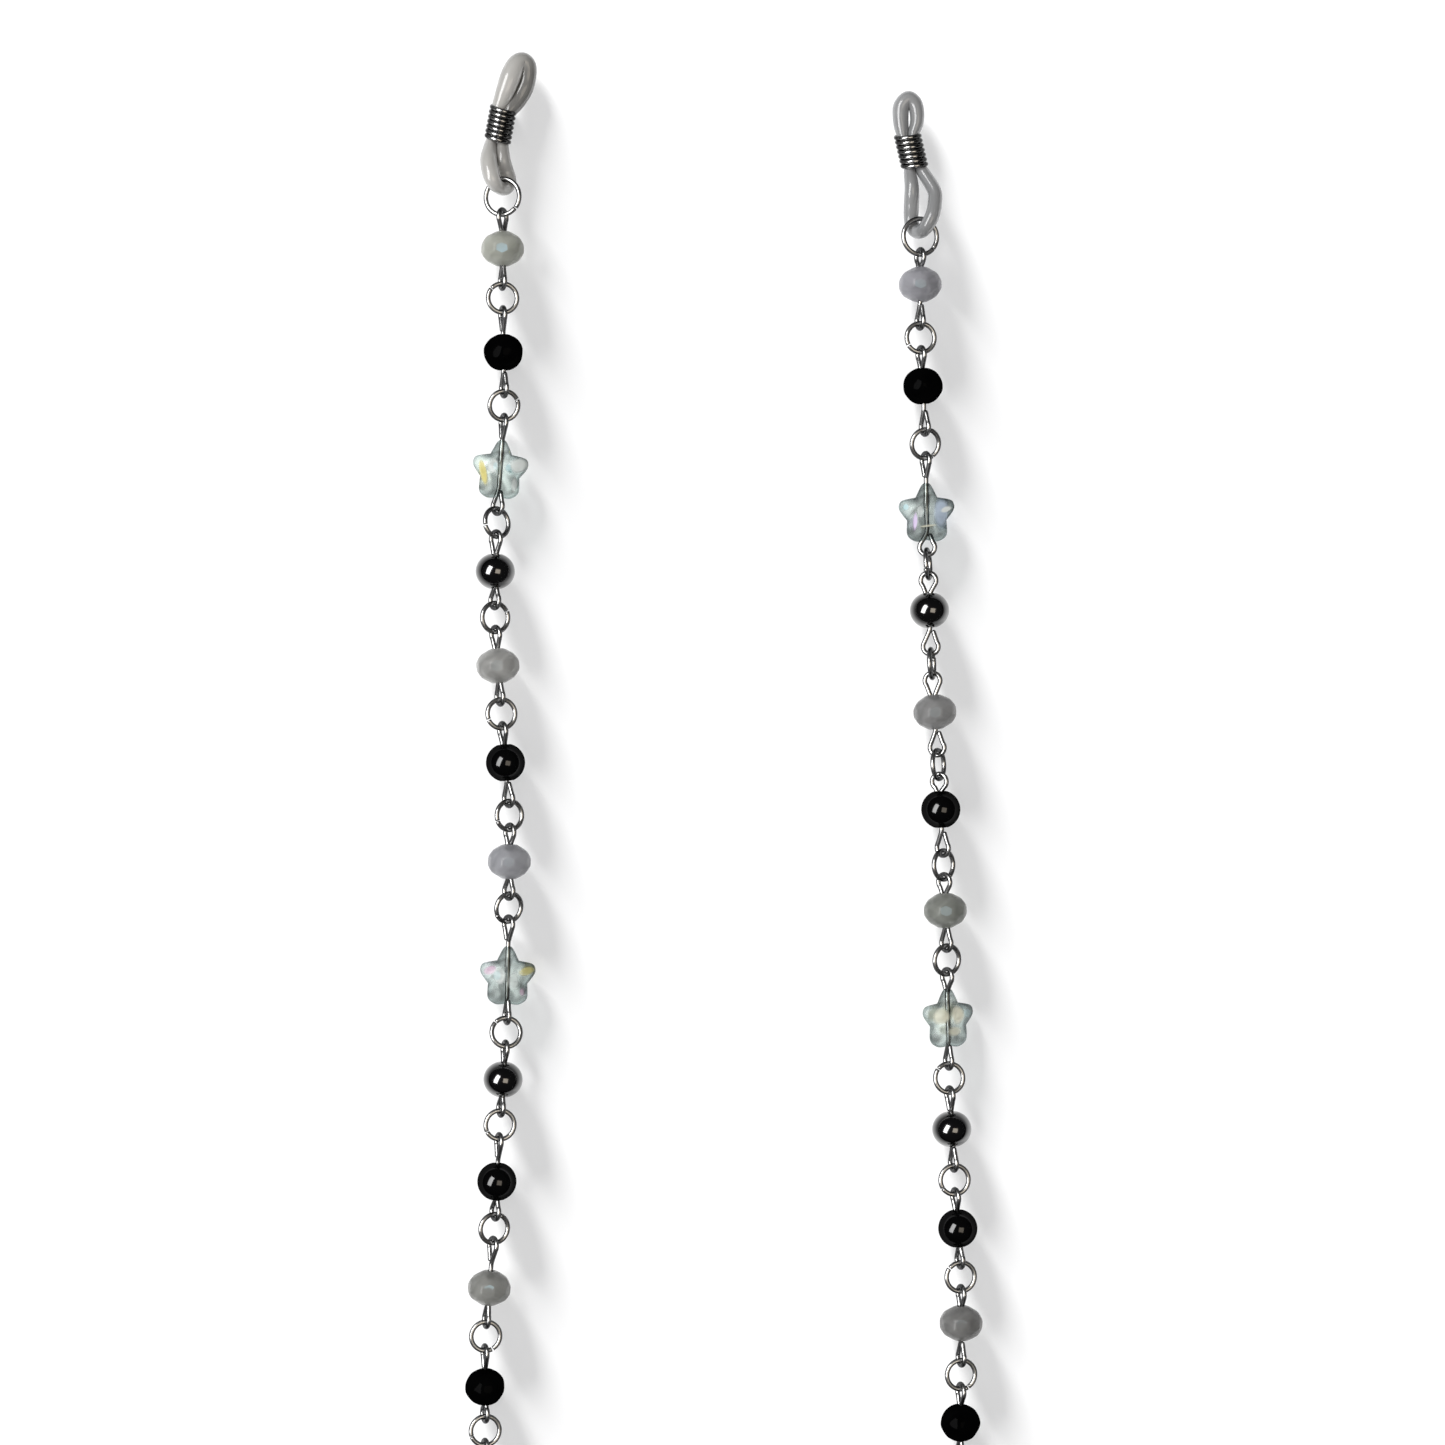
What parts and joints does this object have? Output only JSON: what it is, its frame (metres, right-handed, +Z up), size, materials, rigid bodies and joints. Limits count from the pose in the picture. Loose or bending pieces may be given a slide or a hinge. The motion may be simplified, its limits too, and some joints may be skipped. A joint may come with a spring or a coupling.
{
  "type": "beaded eyeglass chain",
  "caption": "Beaded eyeglass retainer: glass, gunmetal and star beads on double-eyed pins linked by jump rings, with a silicone temple loop and sliding coil at each end.",
  "frame": {"origin": "middle of the base of the chain as it lies on a table, z = 0 on the table", "axes": "+X to the right strand, +Y from the neck bend to the temple loops, +Z up off the table"},
  "size_m": [0.0764, 0.3042, 0.0058],
  "materials": {
    "opal_glass": "milky opal glass, polished facets",
    "black_glass": "opaque black glass, fire polished",
    "gunmetal": "bright hematite-grey plating",
    "clear_glass": "clear pressed glass with an iridescent coat",
    "steel_wire": "polished rhodium-coloured wire",
    "silicone": "translucent milky silicone cord"
  },
  "bodies": {
    "left_end_ring": {"left_end_ring": "steel_wire"},
    "left_bead_01_opal": {"left_bead_01_opal": "opal_glass"},
    "left_jump_ring_01": {"left_jump_ring_01": "steel_wire"},
    "left_bead_02_faceted": {"left_bead_02_faceted": "black_glass"},
    "left_jump_ring_02": {"left_jump_ring_02": "steel_wire"},
    "left_bead_03_star": {"left_bead_03_star": "clear_glass"},
    "left_jump_ring_03": {"left_jump_ring_03": "steel_wire"},
    "left_bead_04_gunmetal": {"left_bead_04_gunmetal": "gunmetal"},
    "left_jump_ring_04": {"left_jump_ring_04": "steel_wire"},
    "left_bead_05_opal": {"left_bead_05_opal": "opal_glass"},
    "left_jump_ring_05": {"left_jump_ring_05": "steel_wire"},
    "left_bead_06_ball": {"left_bead_06_ball": "black_glass"},
    "left_jump_ring_06": {"left_jump_ring_06": "steel_wire"},
    "left_bead_07_opal": {"left_bead_07_opal": "opal_glass"},
    "left_jump_ring_07": {"left_jump_ring_07": "steel_wire"},
    "left_bead_08_star": {"left_bead_08_star": "clear_glass"},
    "left_jump_ring_08": {"left_jump_ring_08": "steel_wire"},
    "left_bead_09_gunmetal": {"left_bead_09_gunmetal": "gunmetal"},
    "left_jump_ring_09": {"left_jump_ring_09": "steel_wire"},
    "left_bead_10_ball": {"left_bead_10_ball": "black_glass"},
    "left_jump_ring_10": {"left_jump_ring_10": "steel_wire"},
    "left_bead_11_opal": {"left_bead_11_opal": "opal_glass"},
    "left_jump_ring_11": {"left_jump_ring_11": "steel_wire"},
    "left_bead_12_faceted": {"left_bead_12_faceted": "black_glass"},
    "left_jump_ring_12": {"left_jump_ring_12": "steel_wire"},
    "right_end_ring": {"right_end_ring": "steel_wire"},
    "right_bead_01_opal": {"right_bead_01_opal": "opal_glass"},
    "right_jump_ring_01": {"right_jump_ring_01": "steel_wire"},
    "right_bead_02_faceted": {"right_bead_02_faceted": "black_glass"},
    "right_jump_ring_02": {"right_jump_ring_02": "steel_wire"},
    "right_bead_03_star": {"right_bead_03_star": "clear_glass"},
    "right_jump_ring_03": {"right_jump_ring_03": "steel_wire"},
    "right_bead_04_gunmetal": {"right_bead_04_gunmetal": "gunmetal"},
    "right_jump_ring_04": {"right_jump_ring_04": "steel_wire"},
    "right_bead_05_opal": {"right_bead_05_opal": "opal_glass"},
    "right_jump_ring_05": {"right_jump_ring_05": "steel_wire"},
    "right_bead_06_ball": {"right_bead_06_ball": "black_glass"},
    "right_jump_ring_06": {"right_jump_ring_06": "steel_wire"},
    "right_bead_07_opal": {"right_bead_07_opal": "opal_glass"},
    "right_jump_ring_07": {"right_jump_ring_07": "steel_wire"},
    "right_bead_08_star": {"right_bead_08_star": "clear_glass"},
    "right_jump_ring_08": {"right_jump_ring_08": "steel_wire"},
    "right_bead_09_gunmetal": {"right_bead_09_gunmetal": "gunmetal"},
    "right_jump_ring_09": {"right_jump_ring_09": "steel_wire"},
    "right_bead_10_ball": {"right_bead_10_ball": "black_glass"},
    "right_jump_ring_10": {"right_jump_ring_10": "steel_wire"},
    "right_bead_11_opal": {"right_bead_11_opal": "opal_glass"},
    "right_jump_ring_11": {"right_jump_ring_11": "steel_wire"},
    "right_bead_12_faceted": {"right_bead_12_faceted": "black_glass"},
    "right_jump_ring_12": {"right_jump_ring_12": "steel_wire"},
    "neck_section_1": {"neck_section_1": "opal_glass"},
    "neck_section_2": {"neck_section_2": "opal_glass"},
    "neck_section_3": {"neck_section_3": "opal_glass"},
    "neck_section_4": {"neck_section_4": "opal_glass"},
    "neck_section_5": {"neck_section_5": "opal_glass"},
    "left_temple_loop": {"left_temple_loop": "silicone"},
    "left_coil_slider": {"left_coil_slider": "steel_wire"},
    "right_temple_loop": {"right_temple_loop": "silicone"},
    "right_coil_slider": {"right_coil_slider": "steel_wire"}
  },
  "joints": [
    {"name": "left_coil_slide", "type": "slide", "parent": "left_temple_loop", "child": "left_coil_slider", "axis": [0.1822, 0.9833, 0], "range_m": [0, 0.002]},
    {"name": "right_coil_slide", "type": "slide", "parent": "right_temple_loop", "child": "right_coil_slider", "axis": [-0.225, 0.9744, 0], "range_m": [0, 0.002]},
    {"name": "left_temple_loop_swing", "type": "hinge", "parent": "left_end_ring", "child": "left_temple_loop", "pos_m": [-0.03276, 0.13079, 0.00285], "axis": [-0.309, 0, 0.9511], "range_deg": [-50, 50]},
    {"name": "right_temple_loop_swing", "type": "hinge", "parent": "right_end_ring", "child": "right_temple_loop", "pos_m": [0.02914, 0.12489, 0.00285], "axis": [0.309, 0, 0.9511], "range_deg": [-50, 50]},
    {"name": "left_end_ring_tilt", "type": "hinge", "parent": "left_bead_01_opal", "child": "left_end_ring", "pos_m": [-0.03276, 0.12814, 0.00285], "axis": [0.9511, 0, 0.309], "range_deg": [-60, 60]},
    {"name": "right_end_ring_tilt", "type": "hinge", "parent": "right_bead_01_opal", "child": "right_end_ring", "pos_m": [0.02914, 0.12224, 0.00285], "axis": [0.9511, 0, -0.309], "range_deg": [-60, 60]},
    {"name": "neck_section_2_tilt", "type": "hinge", "parent": "neck_section_3", "child": "neck_section_2", "pos_m": [-0.01732, -0.13753, 0.00285], "axis": [0.7734, 0.5114, -0.3746], "range_deg": [-35, 35]},
    {"name": "neck_section_4_tilt", "type": "hinge", "parent": "neck_section_3", "child": "neck_section_4", "pos_m": [0.01493, -0.14279, 0.00285], "axis": [-0.6908, 0.6184, -0.3746], "range_deg": [-35, 35]},
    {"name": "neck_section_1_swing", "type": "hinge", "parent": "neck_section_2", "child": "neck_section_1", "pos_m": [-0.03187, -0.09622, 0.00245], "axis": [0.3371, 0.2506, 0.9075], "range_deg": [-35, 35]},
    {"name": "neck_section_5_swing", "type": "hinge", "parent": "neck_section_4", "child": "neck_section_5", "pos_m": [0.03136, -0.1025, 0.00245], "axis": [-0.3347, 0.2539, 0.9075], "range_deg": [-35, 35]},
    {"name": "left_bead_01_opal_swing", "type": "hinge", "parent": "left_jump_ring_01", "child": "left_bead_01_opal", "pos_m": [-0.03274, 0.11579, 0.00285], "axis": [-0.2079, -0.0011, -0.9781], "range_deg": [-50, 50]},
    {"name": "right_bead_01_opal_swing", "type": "hinge", "parent": "right_jump_ring_01", "child": "right_bead_01_opal", "pos_m": [0.0292, 0.10989, 0.00285], "axis": [-0.2419, -0.0056, -0.9703], "range_deg": [-50, 50]},
    {"name": "left_jump_ring_01_tilt", "type": "hinge", "parent": "left_bead_02_faceted", "child": "left_jump_ring_01", "pos_m": [-0.03272, 0.11364, 0.00285], "axis": [-0.9781, -0.0087, 0.2079], "range_deg": [-60, 60]},
    {"name": "right_jump_ring_01_tilt", "type": "hinge", "parent": "right_bead_02_faceted", "child": "right_jump_ring_01", "pos_m": [0.02925, 0.10774, 0.00285], "axis": [-0.97, -0.0256, 0.2419], "range_deg": [-60, 60]},
    {"name": "left_bead_02_faceted_swing", "type": "hinge", "parent": "left_jump_ring_02", "child": "left_bead_02_faceted", "pos_m": [-0.03258, 0.09989, 0.00243], "axis": [0.2707, -0.1937, 0.943], "range_deg": [-50, 50]},
    {"name": "right_bead_02_faceted_swing", "type": "hinge", "parent": "right_jump_ring_02", "child": "right_bead_02_faceted", "pos_m": [0.02992, 0.09421, 0.00243], "axis": [0.3153, -0.1736, 0.933], "range_deg": [-50, 50]},
    {"name": "left_jump_ring_02_tilt", "type": "hinge", "parent": "left_bead_03_star", "child": "left_jump_ring_02", "pos_m": [-0.03263, 0.09779, 0.00201], "axis": [0.9623, 0.0283, -0.2704], "range_deg": [-60, 60]},
    {"name": "right_jump_ring_02_tilt", "type": "hinge", "parent": "right_bead_03_star", "child": "right_jump_ring_02", "pos_m": [0.03, 0.0921, 0.00201], "axis": [0.9484, 0.0931, -0.3031], "range_deg": [-60, 60]},
    {"name": "left_bead_03_star_swing", "type": "hinge", "parent": "left_jump_ring_03", "child": "left_bead_03_star", "pos_m": [-0.03364, 0.08253, 0.00245], "axis": [-0.649, -0.1288, -0.7498], "range_deg": [-50, 50]},
    {"name": "right_bead_03_star_swing", "type": "hinge", "parent": "right_jump_ring_03", "child": "right_bead_03_star", "pos_m": [0.03029, 0.07641, 0.00245], "axis": [-0.9767, -0.0682, -0.2035], "range_deg": [-50, 50]},
    {"name": "left_jump_ring_03_tilt", "type": "hinge", "parent": "left_bead_04_gunmetal", "child": "left_jump_ring_03", "pos_m": [-0.03373, 0.08043, 0.00289], "axis": [-0.7596, 0.165, 0.6291], "range_deg": [-60, 60]},
    {"name": "right_jump_ring_03_tilt", "type": "hinge", "parent": "right_bead_04_gunmetal", "child": "right_jump_ring_03", "pos_m": [0.03035, 0.07431, 0.00289], "axis": [-0.2131, 0.1949, 0.9574], "range_deg": [-60, 60]},
    {"name": "left_bead_04_gunmetal_swing", "type": "hinge", "parent": "left_jump_ring_04", "child": "left_bead_04_gunmetal", "pos_m": [-0.03385, 0.06844, 0.00288], "axis": [0.53, 0.0046, 0.848], "range_deg": [-50, 50]},
    {"name": "right_bead_04_gunmetal_swing", "type": "hinge", "parent": "right_jump_ring_04", "child": "right_bead_04_gunmetal", "pos_m": [0.03083, 0.06162, 0.00288], "axis": [0.9769, 0.0489, 0.2079], "range_deg": [-50, 50]},
    {"name": "left_jump_ring_04_tilt", "type": "hinge", "parent": "left_bead_05_opal", "child": "left_jump_ring_04", "pos_m": [-0.03379, 0.06629, 0.00285], "axis": [0.8476, 0.028, -0.5299], "range_deg": [-60, 60]},
    {"name": "right_jump_ring_04_tilt", "type": "hinge", "parent": "right_bead_05_opal", "child": "right_jump_ring_04", "pos_m": [0.03094, 0.05948, 0.00285], "axis": [0.2071, 0.0215, -0.9781], "range_deg": [-60, 60]},
    {"name": "left_bead_05_opal_swing", "type": "hinge", "parent": "left_jump_ring_05", "child": "left_bead_05_opal", "pos_m": [-0.03293, 0.05417, 0.00288], "axis": [-0.3727, -0.0395, -0.9271], "range_deg": [-50, 50]},
    {"name": "right_bead_05_opal_swing", "type": "hinge", "parent": "right_jump_ring_05", "child": "right_bead_05_opal", "pos_m": [0.03182, 0.04666, 0.00288], "axis": [-0.8968, -0.0596, -0.4383], "range_deg": [-50, 50]},
    {"name": "left_jump_ring_05_tilt", "type": "hinge", "parent": "left_bead_06_ball", "child": "left_jump_ring_05", "pos_m": [-0.03276, 0.05203, 0.0029], "axis": [-0.9246, -0.0687, 0.3746], "range_deg": [-60, 60]},
    {"name": "right_jump_ring_05_tilt", "type": "hinge", "parent": "right_bead_06_ball", "child": "right_jump_ring_05", "pos_m": [0.03195, 0.04451, 0.0029], "axis": [-0.4382, -0.017, 0.8987], "range_deg": [-60, 60]},
    {"name": "left_bead_06_ball_swing", "type": "hinge", "parent": "left_jump_ring_06", "child": "left_bead_06_ball", "pos_m": [-0.03174, 0.03913, 0.00288], "axis": [0.5592, 0.0105, 0.829], "range_deg": [-50, 50]},
    {"name": "right_bead_06_ball_swing", "type": "hinge", "parent": "right_jump_ring_06", "child": "right_bead_06_ball", "pos_m": [0.0326, 0.03178, 0.00288], "axis": [0.7068, 0.0232, 0.7071], "range_deg": [-50, 50]},
    {"name": "left_jump_ring_06_tilt", "type": "hinge", "parent": "left_bead_07_opal", "child": "left_jump_ring_06", "pos_m": [-0.03167, 0.03698, 0.00285], "axis": [0.8283, 0.035, -0.5592], "range_deg": [-60, 60]},
    {"name": "right_jump_ring_06_tilt", "type": "hinge", "parent": "right_bead_07_opal", "child": "right_jump_ring_06", "pos_m": [0.03269, 0.02963, 0.00285], "axis": [0.7061, 0.0385, -0.7071], "range_deg": [-60, 60]},
    {"name": "left_bead_07_opal_swing", "type": "hinge", "parent": "left_jump_ring_07", "child": "left_bead_07_opal", "pos_m": [-0.03187, 0.02543, 0.00243], "axis": [-0.5707, 0.1694, -0.8035], "range_deg": [-50, 50]},
    {"name": "right_bead_07_opal_swing", "type": "hinge", "parent": "right_jump_ring_07", "child": "right_bead_07_opal", "pos_m": [0.03309, 0.01769, 0.0027], "axis": [-0.5015, 0.049, -0.8638], "range_deg": [-50, 50]},
    {"name": "left_jump_ring_07_tilt", "type": "hinge", "parent": "left_bead_08_star", "child": "left_jump_ring_07", "pos_m": [-0.03191, 0.02332, 0.00201], "axis": [-0.821, -0.0973, 0.5626], "range_deg": [-60, 60]},
    {"name": "right_jump_ring_07_tilt", "type": "hinge", "parent": "right_bead_08_star", "child": "right_jump_ring_07", "pos_m": [0.03314, 0.01554, 0.00254], "axis": [-0.8648, -0.0585, 0.4987], "range_deg": [-60, 60]},
    {"name": "left_bead_08_star_swing", "type": "hinge", "parent": "left_jump_ring_08", "child": "left_bead_08_star", "pos_m": [-0.03225, 0.00694, 0.00245], "axis": [0.2165, 0.1912, 0.9574], "range_deg": [-50, 50]},
    {"name": "right_bead_08_star_swing", "type": "hinge", "parent": "right_jump_ring_08", "child": "right_bead_08_star", "pos_m": [0.03345, 0.00019, 0.00272], "axis": [0.239, 0.0885, 0.967], "range_deg": [-50, 50]},
    {"name": "left_jump_ring_08_tilt", "type": "hinge", "parent": "left_bead_09_gunmetal", "child": "left_jump_ring_08", "pos_m": [-0.03234, 0.00483, 0.00289], "axis": [0.9754, -0.0852, -0.2035], "range_deg": [-60, 60]},
    {"name": "right_jump_ring_08_tilt", "type": "hinge", "parent": "right_bead_09_gunmetal", "child": "right_jump_ring_08", "pos_m": [0.03352, -0.00195, 0.0029], "axis": [0.9704, 0.0139, -0.2411], "range_deg": [-60, 60]},
    {"name": "left_bead_09_gunmetal_swing", "type": "hinge", "parent": "left_jump_ring_09", "child": "left_bead_09_gunmetal", "pos_m": [-0.03313, -0.00673, 0.0029], "axis": [-0.2415, 0.0148, -0.9703], "range_deg": [-50, 50]},
    {"name": "right_bead_09_gunmetal_swing", "type": "hinge", "parent": "right_jump_ring_09", "child": "right_bead_09_gunmetal", "pos_m": [0.03422, -0.01489, 0.0029], "axis": [-0.2075, -0.0127, -0.9781], "range_deg": [-50, 50]},
    {"name": "left_jump_ring_09_tilt", "type": "hinge", "parent": "left_bead_10_ball", "child": "left_jump_ring_09", "pos_m": [-0.03326, -0.00888, 0.0029], "axis": [-0.9685, 0.0592, 0.2419], "range_deg": [-60, 60]},
    {"name": "right_jump_ring_09_tilt", "type": "hinge", "parent": "right_bead_10_ball", "child": "right_jump_ring_09", "pos_m": [0.03435, -0.01703, 0.0029], "axis": [-0.9763, -0.0597, 0.2079], "range_deg": [-60, 60]},
    {"name": "left_bead_10_ball_swing", "type": "hinge", "parent": "left_jump_ring_10", "child": "left_bead_10_ball", "pos_m": [-0.03399, -0.02211, 0.00288], "axis": [0.4209, -0.0393, 0.9063], "range_deg": [-50, 50]},
    {"name": "right_bead_10_ball_swing", "type": "hinge", "parent": "right_jump_ring_10", "child": "right_bead_10_ball", "pos_m": [0.03513, -0.02926, 0.00288], "axis": [0.2082, -0.0034, 0.9781], "range_deg": [-50, 50]},
    {"name": "left_jump_ring_10_tilt", "type": "hinge", "parent": "left_bead_11_opal", "child": "left_jump_ring_10", "pos_m": [-0.03414, -0.02425, 0.00285], "axis": [0.9044, -0.0586, -0.4226], "range_deg": [-60, 60]},
    {"name": "right_jump_ring_10_tilt", "type": "hinge", "parent": "right_bead_11_opal", "child": "right_jump_ring_10", "pos_m": [0.03521, -0.0314, 0.00285], "axis": [0.9775, 0.0364, -0.2079], "range_deg": [-60, 60]},
    {"name": "left_bead_11_opal_swing", "type": "hinge", "parent": "left_jump_ring_11", "child": "left_bead_11_opal", "pos_m": [-0.03525, -0.03805, 0.00285], "axis": [-0.2077, 0.0098, -0.9781], "range_deg": [-50, 50]},
    {"name": "right_bead_11_opal_swing", "type": "hinge", "parent": "right_jump_ring_11", "child": "right_bead_11_opal", "pos_m": [0.03519, -0.04375, 0.00285], "axis": [-0.2079, 0.0025, -0.9781], "range_deg": [-50, 50]},
    {"name": "left_jump_ring_11_tilt", "type": "hinge", "parent": "left_bead_12_faceted", "child": "left_jump_ring_11", "pos_m": [-0.03535, -0.0402, 0.00285], "axis": [-0.9772, 0.0425, 0.2079], "range_deg": [-60, 60]},
    {"name": "right_jump_ring_11_tilt", "type": "hinge", "parent": "right_bead_12_faceted", "child": "right_jump_ring_11", "pos_m": [0.03517, -0.0459, 0.00285], "axis": [-0.9781, 0.0084, 0.2079], "range_deg": [-60, 60]},
    {"name": "left_bead_12_faceted_swing", "type": "hinge", "parent": "left_jump_ring_12", "child": "left_bead_12_faceted", "pos_m": [-0.03532, -0.05205, 0.00285], "axis": [0.2588, 0.0035, 0.9659], "range_deg": [-50, 50]},
    {"name": "right_bead_12_faceted_swing", "type": "hinge", "parent": "right_jump_ring_12", "child": "right_bead_12_faceted", "pos_m": [0.03495, -0.05835, 0.00285], "axis": [0.2588, -0.0043, 0.9659], "range_deg": [-50, 50]},
    {"name": "left_jump_ring_12_tilt", "type": "hinge", "parent": "neck_section_1", "child": "left_jump_ring_12", "pos_m": [-0.0353, -0.0542, 0.00285], "axis": [0.9659, 0.0101, -0.2588], "range_deg": [-60, 60]},
    {"name": "right_jump_ring_12_tilt", "type": "hinge", "parent": "neck_section_5", "child": "right_jump_ring_12", "pos_m": [0.03491, -0.0605, 0.00285], "axis": [0.9657, -0.019, -0.2588], "range_deg": [-60, 60]}
  ]
}
